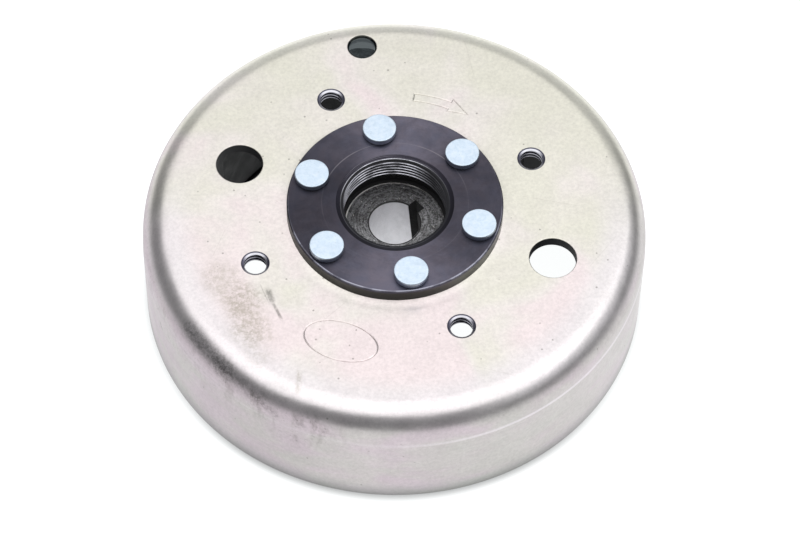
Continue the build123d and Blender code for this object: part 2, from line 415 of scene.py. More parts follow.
def tap(centre, minor, pitch, low, high, first, turns, steps=96):
    """A tap standing at centre from low to high, whose thread winds up from first."""
    depth = THREAD_DEPTH_SHARE * pitch
    core = minor - TAP_RELIEF
    spread = 0.3125 * TAP_RELIEF / depth
    rows = [(-spread, 0), (0.3125, 1), (0.4375, 1), (0.75 + spread, 0)]
    shape = bmesh.new()

    def corner(step, row):
        turn, part = divmod(row, len(rows))
        share, raised = rows[part]
        along = turn + step / steps
        fade = max(0.0, min(1.0, 4 * along, 4 * (turns - along)))
        radius = core + raised * fade * (depth + TAP_RELIEF)
        angle = math.tau * step / steps
        height = first + pitch * (turn + share + step / steps)
        return shape.verts.new(Vector((centre[0] + radius * math.cos(angle),
                                       centre[1] + radius * math.sin(angle), height)) * MM)

    def ring(height):
        places = [(centre[0] + core * math.cos(math.tau * step / steps),
                   centre[1] + core * math.sin(math.tau * step / steps), height)
                  for step in range(steps)]
        return [shape.verts.new(Vector(place) * MM) for place in places]

    last = len(rows) * turns
    columns = [[corner(step, row) for row in range(last + 1)] for step in range(steps)]
    columns[0] += [corner(0, row) for row in range(last + 1, last + 1 + len(rows))]
    columns.append(columns[0][len(rows):])
    bottom, top = ring(low), ring(high)
    bottom.append(bottom[0])
    top.append(top[0])
    for step in range(steps):
        here, ahead = columns[step], columns[step + 1]
        for row in range(last):
            shape.faces.new((here[row], ahead[row], ahead[row + 1], here[row + 1]))
        foot = columns[0][:len(rows)] if step == steps - 1 else []
        shape.faces.new([bottom[step], bottom[step + 1]] + foot + [ahead[0], here[0]])
        head = columns[0][last + 1:][::-1] if step == 0 else []
        shape.faces.new([here[last], ahead[last], top[step + 1], top[step]] + head)
    shape.faces.new(bottom[:-1][::-1])
    shape.faces.new(top[:-1])
    bmesh.ops.recalc_face_normals(shape, faces=shape.faces)
    return to_object("tap", shape)


# %% [markdown]
# The marks on the plate are struck with a punch, which leaves a narrow V-shaped line. A line is
# drawn as a closed path on the plate and given a V section. Where the path turns a corner, the
# section is mitred, so the line keeps its width.

# %% A punch for stamped lines
def stamp(target, path, surface, width, depth):
    """Strikes a closed path of (x, y) points into a level surface as a V-shaped line."""
    lift = 0.3 * depth
    half = 0.5 * width * (depth + lift) / depth
    shape = bmesh.new()
    rings = []
    count = len(path)
    for place in range(count):
        before, here, after = (Vector(path[(place + k) % count]) for k in (-1, 0, 1))
        first = (here - before).normalized()
        second = (after - here).normalized()
        across = Vector((-(first + second).y, (first + second).x)).normalized()
        reach = half / max(0.4, across.dot(Vector((-first.y, first.x))))
        trio = []
        for shift, height in ((reach, surface + lift), (0, surface - depth),
                              (-reach, surface + lift)):
            at = here + shift * across
            trio.append(shape.verts.new(Vector((at.x, at.y, height)) * MM))
        rings.append(trio)
    for trio, following in zip(rings, rings[1:] + rings[:1]):
        for side in range(3):
            shape.faces.new((trio[side], trio[(side + 1) % 3],
                             following[(side + 1) % 3], following[side]))
    bmesh.ops.recalc_face_normals(shape, faces=shape.faces)
    combine(target, to_object("punch", shape))


# %% [markdown]
# The cup is drawn from steel sheet and then zinc plated. Plating keeps the grain of the steel under
# it, so the finish is a soft satin and not a mirror. A clear chromate dip leaves a film thin enough
# to show faint interference colours, which drift from straw to pink and green over a centimetre or
# two. The wall was turned after drawing, so it has fine rings and a slightly greyer look. Handling
# adds hairline scratches, specks and a brown smear where something rubbed.

# %% Zinc plating
SAGE = (0.776, 0.756, 0.664)
STRAW = (0.792, 0.761, 0.691)
CREAM = (0.823, 0.774, 0.736)
ROSE = (0.850, 0.749, 0.751)
RIM_HIGHLIGHT_TINT = (0.816, 0.774, 0.788)      # a cool tint painted where the highlight runs along the front rim
WALL_GREEN = (0.545, 0.525, 0.508)
WALL_GREY = (0.560, 0.522, 0.520)
WALL_LILAC = (0.582, 0.506, 0.546)
HOLE_WALL_SHADE = (0.010, 0.010, 0.012)
THREAD_SHADE = (0.030, 0.030, 0.045)
PLATE_FACE = 29.0
WALL_RADIUS = 56.5
SMEAR_BROWN = (0.34, 0.31, 0.235)
GRIME_BLACK = (0.085, 0.078, 0.074)
SCAR_DARK = (0.10, 0.095, 0.085)
STRUCK_DARKENING = 0.4                # how much darker the struck marks are painted, in blotches
# A fillet all round the flange, in the shading only: its outer edge, width and rise.
FILLET_EDGE, FILLET_REACH, FILLET_RISE = 26.7, 2.6, 0.37
HOLE_MASK_LOW = 26.2                  # below the plate's underside


def on_plate(radius, degrees, height=PLATE_FACE):
    """A point at this radius and angle round the axis, in millimetres."""
    turn = math.radians(degrees)
    return (radius * math.cos(turn), radius * math.sin(turn), height)


def ring_places(circle, start, count):
    """Points spaced evenly round a circle, from the angle start."""
    return [on_plate(circle, start + 360 / count * step)[:2] for step in range(count)]


# How far from its own axis a screw hole's core, its mouth and its whole mark begin and end to fade.
SCREW_EDGES = ((2.51, 2.56), (2.84, 2.93), (3.13, 3.22))
FAN_CIRCLE, FAN_START = 34.0, 25.0
screw_places = ring_places(FAN_CIRCLE, FAN_START, 4)

# Start, end, width and darkness of the deep scars, broadest at their middles.
SCARS = [(on_plate(34.8, 215.9), on_plate(36.8, 223.6), 0.85, 0.66),
         (on_plate(36.3, 221.6), on_plate(38.7, 230.8), 0.40, 0.66),
         (on_plate(35.6, 212.6), on_plate(37.5, 223.0), 0.16, 0.30),
         (on_plate(56.5, 202.4, 17.2), on_plate(56.5, 204.7, 15.4), 0.30, 0.80)]
# Start, end, inner width, outer width and strength of each brown smear.
SMEARS = [(on_plate(42.6, 205.5), on_plate(41.2, 216.0), 2.2, 6.0, 0.40),
          (on_plate(41.4, 217.0), on_plate(44.8, 224.5), 2.0, 6.2, 0.42),
          (on_plate(44.6, 224.0), on_plate(48.8, 233.0), 0.6, 4.8, 0.30),
          (on_plate(47.6, 244.0), on_plate(52.0, 246.0), 0.1, 1.1, 0.45),
          (on_plate(41.0, 226.5), on_plate(43.5, 231.5), 0.1, 1.6, 0.22)]
# The same for the dark grime along the shoulder.
GRIME = [(on_plate(54.2, 214.0, 26.6), on_plate(54.6, 228.0, 26.2), 0.3, 3.4, 0.55),
         (on_plate(54.8, 226.0, 25.8), on_plate(55.2, 238.0, 25.4), 0.2, 3.2, 0.42),
         (on_plate(56.0, 236.0, 25.4), on_plate(56.4, 242.5, 23.2), 0.1, 1.7, 0.45),
         (on_plate(56.3, 247.0, 25.0), on_plate(56.4, 249.0, 23.0), 0.1, 1.4, 0.30)]
HAIRLINES = [(on_plate(52.0, 72.0), on_plate(42.0, 64.0)),
             (on_plate(38.0, 188.0), on_plate(42.0, 197.0)),
             (on_plate(50.0, 300.0), on_plate(41.5, 287.0)),
             (on_plate(45.5, 341.0), on_plate(49.5, 352.0)),
             (on_plate(33.0, 242.0), on_plate(27.0, 246.0)),
             (on_plate(29.0, 8.0), on_plate(41.0, 2.0))]


def zinc_plating():
    material, tree, shader = new_material("zinc_plating")
    where, radius, height = object_place(tree)

    drift = blotches(tree, where, 21, 2.0, 0.45, 0.6)
    place = node(tree, "SeparateXYZ", {0: where})
    x, y = place.outputs[0], place.outputs[1]
    drift = calc(tree, "SUBTRACT", drift, between(tree, y, -45, 45, -0.07, 0.10))
    drift = calc(tree, "SUBTRACT", drift, between(tree, x, -50, 50, -0.05, -0.01))
    plate_color = shades(tree, between(tree, drift, 0.3, 0.72),
                         (0.0, SAGE), (0.35, STRAW), (0.65, CREAM), (1.0, ROSE))
    # Painted highlight tint: the front of the plate near its rim is tinted cool, as the highlight
    # there.
    rim_highlight_share = times(tree, between(tree, radius, 43, 50), between(tree, y, 18, -12))
    plate_color = blend(tree, times(tree, rim_highlight_share, 0.85), plate_color, (*RIM_HIGHLIGHT_TINT, 1))
    rings = round_the_axis(tree, where, radius, height, 1.4, 1.1)
    streak = blotches(tree, rings, 1.0, 3.0, 0.6)
    wall_drift = blotches(tree, stretched(tree, where, 1, 1, 2.2), 17, 2.0, 0.5, 0.4)
    wall_drift = calc(tree, "ADD", wall_drift, between(tree, x, 8, -34, -0.04, 0.17))
    wall_color = shades(tree, between(tree, wall_drift, 0.28, 0.72),
                        (0.0, WALL_GREEN), (0.5, WALL_GREY), (1.0, WALL_LILAC))
    on_wall = between(tree, height, 27.6, 24.5)
    color = blend(tree, on_wall, plate_color, wall_color)

    mottle_and_shade = between(tree, blotches(tree, where, 0.8, 5.0, 0.8), 0.25, 0.75, 0.875, 1.075)
    # Painted shade: the plate is made a little darker towards the back.
    mottle_and_shade = times(tree, mottle_and_shade, between(tree, y, -10, 50, 1.0, 0.955))
    cloud = between(tree, blotches(tree, where, 6.5, 3.0, 0.6), 0.25, 0.75, 0.965, 1.02)
    lined = calc(tree, "ADD", times(tree, calc(tree, "SUBTRACT", streak, 0.5), 0.14), 1.0)
    ring_light = calc(tree, "ADD", times(tree, calc(tree, "SUBTRACT", lined, 1.0), on_wall), 1.0)
    # Painted shade: the wall is darker towards the left, away from the light.
    left_wall_shade = times(tree, between(tree, x, -2, -34, 0.0, 0.13), on_wall)
    tone_and_shade = times(tree, mottle_and_shade, cloud, ring_light)
    tone_and_shade = times(tree, tone_and_shade, calc(tree, "SUBTRACT", 1.0, left_wall_shade))
    color = lightened(tree, color, tone_and_shade)

    pits = node(tree, "TexVoronoi",
                {"Vector": where, "Scale": 0.34, "Randomness": 1.0}).outputs["Distance"]
    rare = between(tree, blotches(tree, where, 9, 1.0), 0.47, 0.60)
    speck = times(tree, between(tree, pits, 0.055, 0.10, 1, 0), rare)
    color = blend(tree, times(tree, speck, 0.55), color, (0.16, 0.145, 0.13, 1))

    patchy = between(tree, blotches(tree, where, 1.1, 6.0, 0.85), 0.40, 0.62, 0.12, 1.0)
    for start, end, inside, outside, amount in SMEARS:
        mask = near_line(tree, where, start, end, inside, outside)
        share = times(tree, mask, patchy, amount)
        color = blend(tree, share, color, (*SMEAR_BROWN, 1))

    # Dirt and painted dark reflection: the front-left shoulder is darkened in blotches, deepening
    # the mirrored band of the dim room there.
    upright_blotches = blotches(tree, stretched(tree, where, 1, 1, 0.35), 3.0, 4.0, 0.7)
    shoulder_dirt_and_reflection = between(tree, upright_blotches, 0.5, 0.72)
    left_front = near_line(tree, where, on_plate(55, 196, 25), on_plate(55, 248, 24), 3.0, 15.0)
    dirt_and_dark_reflection = times(tree, shoulder_dirt_and_reflection, left_front, on_wall)
    color = blend(tree, times(tree, dirt_and_dark_reflection, 0.48), color, (0.20, 0.18, 0.165, 1))
    peppered = between(tree, blotches(tree, where, 0.7, 3.0, 0.7), 0.60, 0.68)
    pepper = times(tree, peppered, left_front, on_wall)
    color = blend(tree, times(tree, pepper, 0.45), color, (0.14, 0.13, 0.12, 1))

    granular = between(tree, blotches(tree, where, 0.9, 5.0, 0.85), 0.40, 0.60, 0.15, 1.0)
    for start, end, inside, outside, amount in GRIME:
        mask = near_line(tree, where, start, end, inside, outside)
        share = times(tree, mask, granular, amount)
        color = blend(tree, share, color, (*GRIME_BLACK, 1))

    scratches = strongest(tree, [near_line(tree, where, start, end, 0.02, 0.14)
                                 for start, end in HAIRLINES])
    torn = between(tree, blotches(tree, where, 0.7, 4.0, 0.7), 0.3, 0.6, 0.35, 1.0)
    for start, end, width, darkness in SCARS:
        middle = (Vector(start) + Vector(end)) / 2
        reach = (Vector(end) - Vector(start)).length / 2
        taper = near_line(tree, where, middle, middle + Vector((0, 0, 0.1)), 0.35 * reach,
                          1.05 * reach)
        scar = near_line(tree, where, start, end, 0.2 * width, 1.3 * width)
        share = times(tree, scar, taper, torn)
        color = blend(tree, times(tree, share, darkness), color, (*SCAR_DARK, 1))
    color = blend(tree, times(tree, scratches, 0.16), color, (0.42, 0.38, 0.34, 1))

    # Painted highlight: a pale line along the step in the wall, brighter towards the right.
    ledge_highlight = times(tree, between(tree, height, 20.1, 20.45),
                  between(tree, height, 20.7, 21.2, 1, 0))
    ledge_highlight = times(tree, ledge_highlight, between(tree, x, -12, 34, 0.10, 0.50))
    color = blend(tree, ledge_highlight, color, (0.86, 0.81, 0.86, 1))
    # Painted shade: the foot of the wall is darkened and tinted green, as the mirrored shade of the
    # table round the rim.
    foot = between(tree, height, 0.8, 6.0, 0.45, 0.0)
    color = blend(tree, foot, color, (0.30, 0.33, 0.31, 1))

    cores, mouths, wholes = ([near_line(tree, where, (x, y, PLATE_FACE + 2), (x, y, HOLE_MASK_LOW),
                                        inside, outside) for x, y in screw_places]
                             for inside, outside in SCREW_EDGES)
    near_screws = strongest(tree, wholes)
    bolt_dark = strongest(tree, [calc(tree, "SUBTRACT", whole, core)
                                 for whole, core in zip(wholes, cores)])
    bolt_rim = strongest(tree, [calc(tree, "SUBTRACT", whole, mouth)
                                for whole, mouth in zip(wholes, mouths)])
    below_sink = between(tree, height, PLATE_FACE - 0.42, PLATE_FACE - 0.36, 1, 0)
    below_face = between(tree, height, HOLE_MASK_LOW, HOLE_MASK_LOW + 0.1)
    # Painted shade: the thread's grooves in the screw holes are dark and dull.
    groove_shade = times(tree, bolt_dark, below_sink, below_face)
    facing = node(tree, "SeparateXYZ", {0: node(tree, "NewGeometry", {}).outputs["Normal"]})
    tilt, towards_back = facing.outputs[2], facing.outputs[1]
    # Painted highlight and shade on the countersinks: pale where a face looks to the back, dark at
    # the sides, mid grey at the front.
    mouth_shade = times(tree, near_screws, below_face, between(tree, tilt, 0.95, 0.985, 1, 0))
    shade = blend(tree, between(tree, towards_back, -0.44, -0.12), (0.66, 0.66, 0.72, 1),
                  (0.10, 0.10, 0.15, 1))
    shade = blend(tree, between(tree, towards_back, 0.10, 0.40), shade, (0.42, 0.41, 0.44, 1))
    shade = blend(tree, below_sink, shade, (0.36, 0.36, 0.42, 1))
    color = blend(tree, times(tree, mouth_shade, 0.92), color, shade)
    # Painted shade: a dark outline round each screw hole, darkest at the back and sides.
    bolt_rim_shade = times(tree, bolt_rim, below_face,
                      between(tree, towards_back, 0.10, 0.35, 0.95, 0.30))
    color = blend(tree, bolt_rim_shade, color, (0.055, 0.055, 0.085, 1))
    color = blend(tree, groove_shade, color, (*THREAD_SHADE, 1))

    # The struck marks are painted darker, in blotches.
    sunk = times(tree, between(tree, height, PLATE_FACE - 0.08, PLATE_FACE - 0.02, 1, 0),
                 between(tree, height, PLATE_FACE - 0.30, PLATE_FACE - 0.25))
    struck = times(tree, sunk, between(tree, radius, 49.0, 49.3, 1, 0),
                   calc(tree, "SUBTRACT", 1.0, near_screws))
    struck_blotches = times(tree, between(tree, blotches(tree, where, 3.0, 4.0, 0.7), 0.38, 0.62, 0.15, 0.8),
                  STRUCK_DARKENING)
    color = blend(tree, times(tree, struck, struck_blotches), color, (0.22, 0.20, 0.17, 1))

    # Painted shade: the steep walls of the holes in the plate are painted near black and dull.
    upright = times(tree, between(tree, calc(tree, "ABSOLUTE", tilt), 0.35, 0.7, 1, 0),
                    calc(tree, "SUBTRACT", 1.0, near_screws))
    in_plate = times(tree, between(tree, height, HOLE_MASK_LOW, HOLE_MASK_LOW + 0.1),
                     between(tree, radius, 49.0, 49.4, 1, 0))
    hole_wall_shade = times(tree, upright, in_plate)
    color = blend(tree, hole_wall_shade, color, (*HOLE_WALL_SHADE, 1))
    tree.links.new(color, shader.inputs["Base Color"])

    dull = calc(tree, "MAXIMUM", hole_wall_shade, groove_shade)
    tree.links.new(calc(tree, "SUBTRACT", 1.0, dull), shader.inputs["Metallic"])
    polish = between(tree, blotches(tree, where, 7, 4.0, 0.65), 0.2, 0.8, 0.27, 0.37)
    rough = calc(tree, "ADD", polish, times(tree, on_wall, 0.06))
    rough = calc(tree, "ADD", rough, times(tree, dull, 0.4))
    tree.links.new(rough, shader.inputs["Roughness"])

    grain = raised(tree, blotches(tree, where, 0.28, 4.0, 0.7), 0.006)
    peel = raised(tree, blotches(tree, where, 1.3, 3.0, 0.6), 0.016, 1.0, grain)
    dimple = raised(tree, blotches(tree, where, 9, 2.0, 0.5), 0.10, 1.0, peel)
    reach = calc(tree, "DIVIDE",
                 calc(tree, "MAXIMUM", calc(tree, "SUBTRACT", FILLET_EDGE, radius), 0.0),
                 FILLET_REACH)
    fillet = times(tree, reach, reach)
    dimple = raised(tree, fillet, FILLET_RISE, 1.0, dimple)
    turned_lines = raised(tree, times(tree, streak, on_wall), 0.010, 1.0, dimple)
    scored = raised(tree, calc(tree, "SUBTRACT", 1.0, scratches), 0.010, 1.0, turned_lines)
    tree.links.new(scored, shader.inputs["Normal"])
    return material


zinc = zinc_plating()
print("zinc plating nodes:", len(zinc.node_tree.nodes))

# %% [markdown]
# The cup is one turned shell. The bends are arcs, the wall has a step where the lathe stopped, and
# a flat ring of vertices sits just inside each bend so that the shading of the flat doesn't wander.
# Then the holes are cut: two plain ones with the rounded upper lip that a punch leaves, four with a
# countersink and a true M6 thread, and one for the cage's peg.

# %% The cup
WALL = 4.0
PLATE = 2.5
SHOULDER = 6.8
BAND_TOP = 20.5
BAND_STEP = 0.12
PLATE_UNDER = PLATE_FACE - PLATE
CUP_BORE = WALL_RADIUS - WALL
COLLAR_HOLE = 15.05
RIVET_CIRCLE, RIVET_START, RIVETS = 19.7, 40.0, 6
RIVET_SHANK = 2.5
RIVET_FREE = 0.05                # gap round each rivet's shank
SCREW_MINOR, SCREW_MOUTH, PITCH = 2.5, 3.09, 1.0
TOOL_HOLE, TOOL_CIRCLE, TOOL_START = 5.2, 37.1, 160.0
PEG_HOLE, PEG_CIRCLE, PEG_ANGLE = 3.33, 46.8, 99.0
LIP = 0.28                        # the rounding that a punch leaves round a hole


def cup_outline():
    """Radius and height pairs round the section of the cup's wall and plate."""
    drawn = WALL_RADIUS - BAND_STEP
    flat = drawn - SHOULDER
    inner = SHOULDER - PLATE
    outline = [(COLLAR_HOLE, PLATE_FACE), (flat - 0.15, PLATE_FACE)]
    outline += bend((flat, PLATE_FACE - SHOULDER), SHOULDER, 90, 0, 26)
    outline += [(drawn, BAND_TOP + 0.7), (drawn + 0.01, BAND_TOP + 0.4),
                (WALL_RADIUS - 0.01, BAND_TOP)]
    outline += [(WALL_RADIUS, BAND_TOP - 0.3)]
    outline += [(WALL_RADIUS, 0.55)]
    outline += bend((WALL_RADIUS - 0.4, 0.4), 0.4, 0, -90, 5)
    outline += bend((CUP_BORE + 0.4, 0.4), 0.4, -90, -180, 5)
    outline += bend((CUP_BORE - inner, PLATE_UNDER - inner), inner, 0, 90, 14)
    outline += [(CUP_BORE - inner - 0.15, PLATE_UNDER), (COLLAR_HOLE, PLATE_UNDER)]
    return outline


def punched(radius, lip=LIP):
    """The outline of a punched hole's cutter, with a rounded lip at the top."""
    outline = [(0, PLATE_UNDER - 2), (radius, PLATE_UNDER - 2)]
    outline += bend((radius + lip, PLATE_FACE - lip), lip, 180, 90, 5)
    return outline + [(radius + lip, PLATE_FACE + 1), (0, PLATE_FACE + 1)]


cup = to_object("cup", turned(cup_outline()))
for place in ring_places(RIVET_CIRCLE, RIVET_START, RIVETS):
    cut(cup, punched(RIVET_SHANK + RIVET_FREE, 0.05), place, 48)
for place in ring_places(TOOL_CIRCLE, TOOL_START, 2):
    cut(cup, punched(TOOL_HOLE), place, 128)
cut(cup, punched(PEG_HOLE, 0.22), on_plate(PEG_CIRCLE, PEG_ANGLE)[:2], 96)
for place in screw_places:
    low, high = PLATE_UNDER - 2, PLATE_FACE + 1
    sink = 0.55 * (SCREW_MOUTH - SCREW_MINOR)
    drill = [(0, low), (SCREW_MINOR, low), (SCREW_MINOR, PLATE_FACE - sink),
             (SCREW_MOUTH, PLATE_FACE), (SCREW_MOUTH, high), (0, high)]
    cut(cup, drill, place, 96)
    combine(cup, tap(place, SCREW_MINOR, PITCH, low - 1, high + 1, PLATE_UNDER - 1.1, 3))
print("cup so far:", len(cup.data.polygons), "faces")

# %% [markdown]
# Two marks are struck into the plate: an arrow for the direction of rotation, and a plain oval.
# A low pad stands out from the far side of the wall. Its two ends pass a pick-up coil and time the
# spark, so it is drawn with crisp sides and slightly rounded edges.

# %% Marks and the trigger pad
STAMP_WIDTH, STAMP_DEPTH = 0.42, 0.11
PAD_ANGLE, PAD_ARC, PAD_STAND = 100.0, 40.0, 1.4
PAD_BOTTOM, PAD_TOP = 5.5, 16.5


def arc_points(radius, start, end, steps):
    return [on_plate(radius, start + (end - start) * step / steps)[:2]
            for step in range(steps + 1)]


def arrow_path():
    """The arrow's outline: a bent shaft and a pointed head, clockwise round the axis."""
    inner, outer, middle, tail, neck, tip = 31.0, 33.0, 31.6, 82.0, 66.7, 58.3
    barb_outward, barb_inward = 0.95, 0.7
    path = arc_points(inner, tail, neck, 16)
    path += [on_plate(inner - barb_inward, neck)[:2], on_plate(middle, tip)[:2]]
    path += [on_plate(outer + barb_outward, neck)[:2]]
    return path + arc_points(outer, neck, tail, 16)


def oval_path(radius, degrees, along, across, steps=96):
    """An ellipse whose long way runs round the axis."""
    middle = Vector(on_plate(radius, degrees)[:2])
    outward = middle.normalized()
    sideways = Vector((-outward.y, outward.x))
    turns = [math.tau * step / steps for step in range(steps)]
    return [tuple(middle + along * math.cos(t) * sideways + across * math.sin(t) * outward)
            for t in turns]


def ring_block(inner, outer, low, high, centre_angle, arc, steps, edge=0.0):
    """A piece of a ring with rounded edges, arc degrees long."""
    shape = bmesh.new()
    rows = []
    for step in range(steps + 1):
        angle = centre_angle + arc * (step / steps - 0.5)
        corners = [(inner, low), (outer, low), (outer, high), (inner, high)]
        rows.append([shape.verts.new(Vector(on_plate(r, angle, z)) * MM) for r, z in corners])
    for row, following in zip(rows, rows[1:]):
        for side in range(4):
            shape.faces.new((row[side], row[(side + 1) % 4], following[(side + 1) % 4],
                             following[side]))
    shape.faces.new(rows[0][::-1])
    shape.faces.new(rows[-1])
    bmesh.ops.recalc_face_normals(shape, faces=shape.faces)
    if edge:
        sharp = [e for e in shape.edges if e.calc_face_angle(0) > math.radians(50)]
        bmesh.ops.bevel(shape, geom=sharp, offset=edge * MM, segments=3, profile=0.5,
                        affect="EDGES")
    return to_object("block", shape)


stamp(cup, arrow_path(), PLATE_FACE, STAMP_WIDTH, STAMP_DEPTH)
stamp(cup, oval_path(36.7, 251.0, 8.3, 4.9), PLATE_FACE, STAMP_WIDTH, STAMP_DEPTH)
pad = ring_block(WALL_RADIUS - 1.0, WALL_RADIUS + PAD_STAND, PAD_BOTTOM, PAD_TOP, PAD_ANGLE,
                 PAD_ARC, 40, 0.6)
combine(cup, pad, "UNION")
smooth(cup)
cup.data.materials.clear()
cup.data.materials.append(zinc)
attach(cup, "root")
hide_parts("rotor_cup")
print("cup:", len(cup.data.polygons), "faces,", round(1000 * cup.dimensions.x, 2), "mm wide")

# %% [markdown]
# The hub is turned from a forging and then blackened in a hot oxide bath. The oxide is only a
# micrometre thick, so the fine rings left by the lathe still show in it: they stretch every
# reflection across the rings, and the flange is bright towards the camera and away from it, and
# dark at its sides. The shader's anisotropy does that, with a tangent that runs round the axis, and
# painted highlight and shade in the colour add to it: lighter towards the front and back, darker at
# the sides and a little lighter on the right. The taper is reamed after the bath and stays bare.

# %% Black oxide and bare steel
OXIDE = (0.086, 0.084, 0.112)
OXIDE_IN_SHADE = (0.012, 0.012, 0.013)
BARE_STEEL = (0.70, 0.69, 0.72)
FLANGE_FACE = 32.2
RECESS_FLOOR = 24.2
PULLER_MINOR = 11.46
BORE_SMALL, TAPER = 5.65, 0.1
KEYWAY_WIDTH, KEYWAY_DEPTH, KEYWAY_ANGLE = 3.0, 2.1, 42.0
SLOT_NEAR, SLOT_FAR = 4.8, 9.9     # the keyway is dark between these distances from the axis
FLANGE_RING = 16.3               # a faint ring where the tool changed direction
RECESS_MOUTH = 13.1
MOUTH = 12.15                    # inner edge of the dished mouth, just outside the thread
RELIEF_TOP = FLANGE_FACE - 5.6   # the plain groove under the thread starts here
RELIEF_BOTTOM = RECESS_FLOOR - 0.3
FLOOR_RADIUS = 11.15             # the floor is a disc that stands in that groove


def black_oxide():
    material, tree, shader = new_material("black_oxide")
    where, radius, height = object_place(tree)
    rings = round_the_axis(tree, where, radius, height, 0.9, 2.6)
    streak = blotches(tree, rings, 1.0, 4.0, 0.62)
    cloud = blotches(tree, where, 5.0, 4.0, 0.62, 0.5)
    color = blend(tree, between(tree, cloud, 0.3, 0.7), (*OXIDE, 1), (0.098, 0.089, 0.112, 1))
    level = calc(tree, "ADD", times(tree, calc(tree, "SUBTRACT", streak, 0.5), 0.16), 1.0)
    worn = between(tree, blotches(tree, where, 8.0, 5.0, 0.7, 0.3), 0.35, 0.65, 0.85, 1.15)
    x = node(tree, "SeparateXYZ", {0: where}).outputs[0]
    sideways = calc(tree, "DIVIDE", x, calc(tree, "MAXIMUM", radius, 1.0))
    # Painted highlight and shade: the oxide is lighter towards the front and back, darker at the
    # sides and a little lighter on the right.
    side_light_and_shade = between(tree, calc(tree, "ABSOLUTE", sideways), 0.15, 1.0, 1.50, 0.62)
    right_light = calc(tree, "ADD", times(tree, sideways, 0.14), 1.0)
    level = times(tree, level, worn, times(tree, side_light_and_shade, right_light))
    color = lightened(tree, color, level)

    face = between(tree, height, FLANGE_FACE - 0.06, FLANGE_FACE - 0.02)
    off_ring = calc(tree, "ABSOLUTE", calc(tree, "SUBTRACT", radius, FLANGE_RING))
    y = node(tree, "SeparateXYZ", {0: where}).outputs[1]
    patchy = times(tree, between(tree, blotches(tree, where, 7.0, 2.0), 0.36, 0.56, 0.35, 1.0),
                   between(tree, y, 3, 12, 0.15, 1.0))
    ring = times(tree, between(tree, off_ring, 0.05, 0.17, 1, 0), times(tree, face, patchy))
    color = blend(tree, times(tree, ring, 0.42), color, (0.32, 0.30, 0.33, 1))
    # Painted highlight: a pale line along the flange's edge, in patches, strongest at the front.
    lip = times(tree, between(tree, radius, 23.62, 23.74),
                between(tree, height, FLANGE_FACE - 0.34, FLANGE_FACE - 0.22))
    lip_highlight_patches = times(tree, between(tree, y, 4, -17, 0.08, 0.85),
                   between(tree, blotches(tree, where, 3.0, 3.0), 0.38, 0.58, 0.25, 1))
    color = blend(tree, times(tree, lip, lip_highlight_patches), color, (0.42, 0.42, 0.50, 1))
    side = between(tree, radius, 23.6, 24.0)
    below_lip = between(tree, height, FLANGE_FACE - 0.9, FLANGE_FACE - 0.4, 1, 0)
    color = blend(tree, times(tree, side, below_lip), color, (0.130, 0.128, 0.118, 1))

    # Painted shade and highlight in the puller thread: near black and dull, with pale crests and a
    # pale mouth edge towards the back, weaker on the right.
    in_thread = times(tree, between(tree, radius, MOUTH + 0.05, MOUTH + 0.15, 1, 0),
                      between(tree, height, RELIEF_TOP - 0.1, RELIEF_TOP))
    crest_highlight = times(tree, between(tree, radius, PULLER_MINOR + 0.04, PULLER_MINOR + 0.20, 1, 0),
                      between(tree, height, FLANGE_FACE - 0.75, FLANGE_FACE - 0.68, 1, 0))
    mouth_edge_highlight = times(tree, between(tree, radius, MOUTH - 0.10, MOUTH - 0.04),
                      between(tree, height, FLANGE_FACE - 0.42, FLANGE_FACE - 0.36))
    crest_highlight = calc(tree, "MAXIMUM", crest_highlight, mouth_edge_highlight)
    crest_highlight = times(tree, crest_highlight,
                      between(tree, blotches(tree, where, 4.0, 3.0), 0.3, 0.6, 0.45, 1.0))
    crest_highlight = times(tree, crest_highlight, between(tree, sideways, 0.35, 0.80, 1.0, 0.12))
    crest_highlight = times(tree, crest_highlight, between(tree, y, -1, 7, 0.12, 1.0))
    thread_shade_and_highlight = blend(tree, crest_highlight, (0.012, 0.012, 0.016, 1), (0.78, 0.78, 0.86, 1))
    color = blend(tree, in_thread, color, thread_shade_and_highlight)
    # Painted shade and highlight on the dished mouth: near black, with pale turned arcs towards the
    # back.
    mouth = times(tree, between(tree, radius, RECESS_MOUTH + 0.02, RECESS_MOUTH + 0.10, 1, 0),
                  between(tree, radius, MOUTH - 0.02, MOUTH + 0.10))
    dish = times(tree, mouth, between(tree, height, RELIEF_TOP - 0.1, RELIEF_TOP))
    arc_glints = between(tree, blotches(tree, round_the_axis(tree, where, radius, height, 0.5, 4.0), 0.8,
                                  3.0, 0.7), 0.50, 0.64, 0.0, 0.5)
    dish_shade_and_glints = blend(tree, times(tree, arc_glints, between(tree, y, 2, 9)),
                       (0.020, 0.019, 0.026, 1), (0.22, 0.21, 0.25, 1))
    color = blend(tree, times(tree, dish, 0.92), color, dish_shade_and_glints)
    # Painted shade: the plain groove under the thread is painted near black and dull.
    relief = times(tree, between(tree, radius, FLOOR_RADIUS + 0.02, FLOOR_RADIUS + 0.06),
                   between(tree, radius, MOUTH + 0.3, MOUTH + 0.4, 1, 0))
    relief_shade = times(tree, relief,
                      between(tree, height, RELIEF_TOP - 0.02, RELIEF_TOP + 0.02, 1, 0))
    color = blend(tree, relief_shade, color, (0.016, 0.016, 0.017, 1))

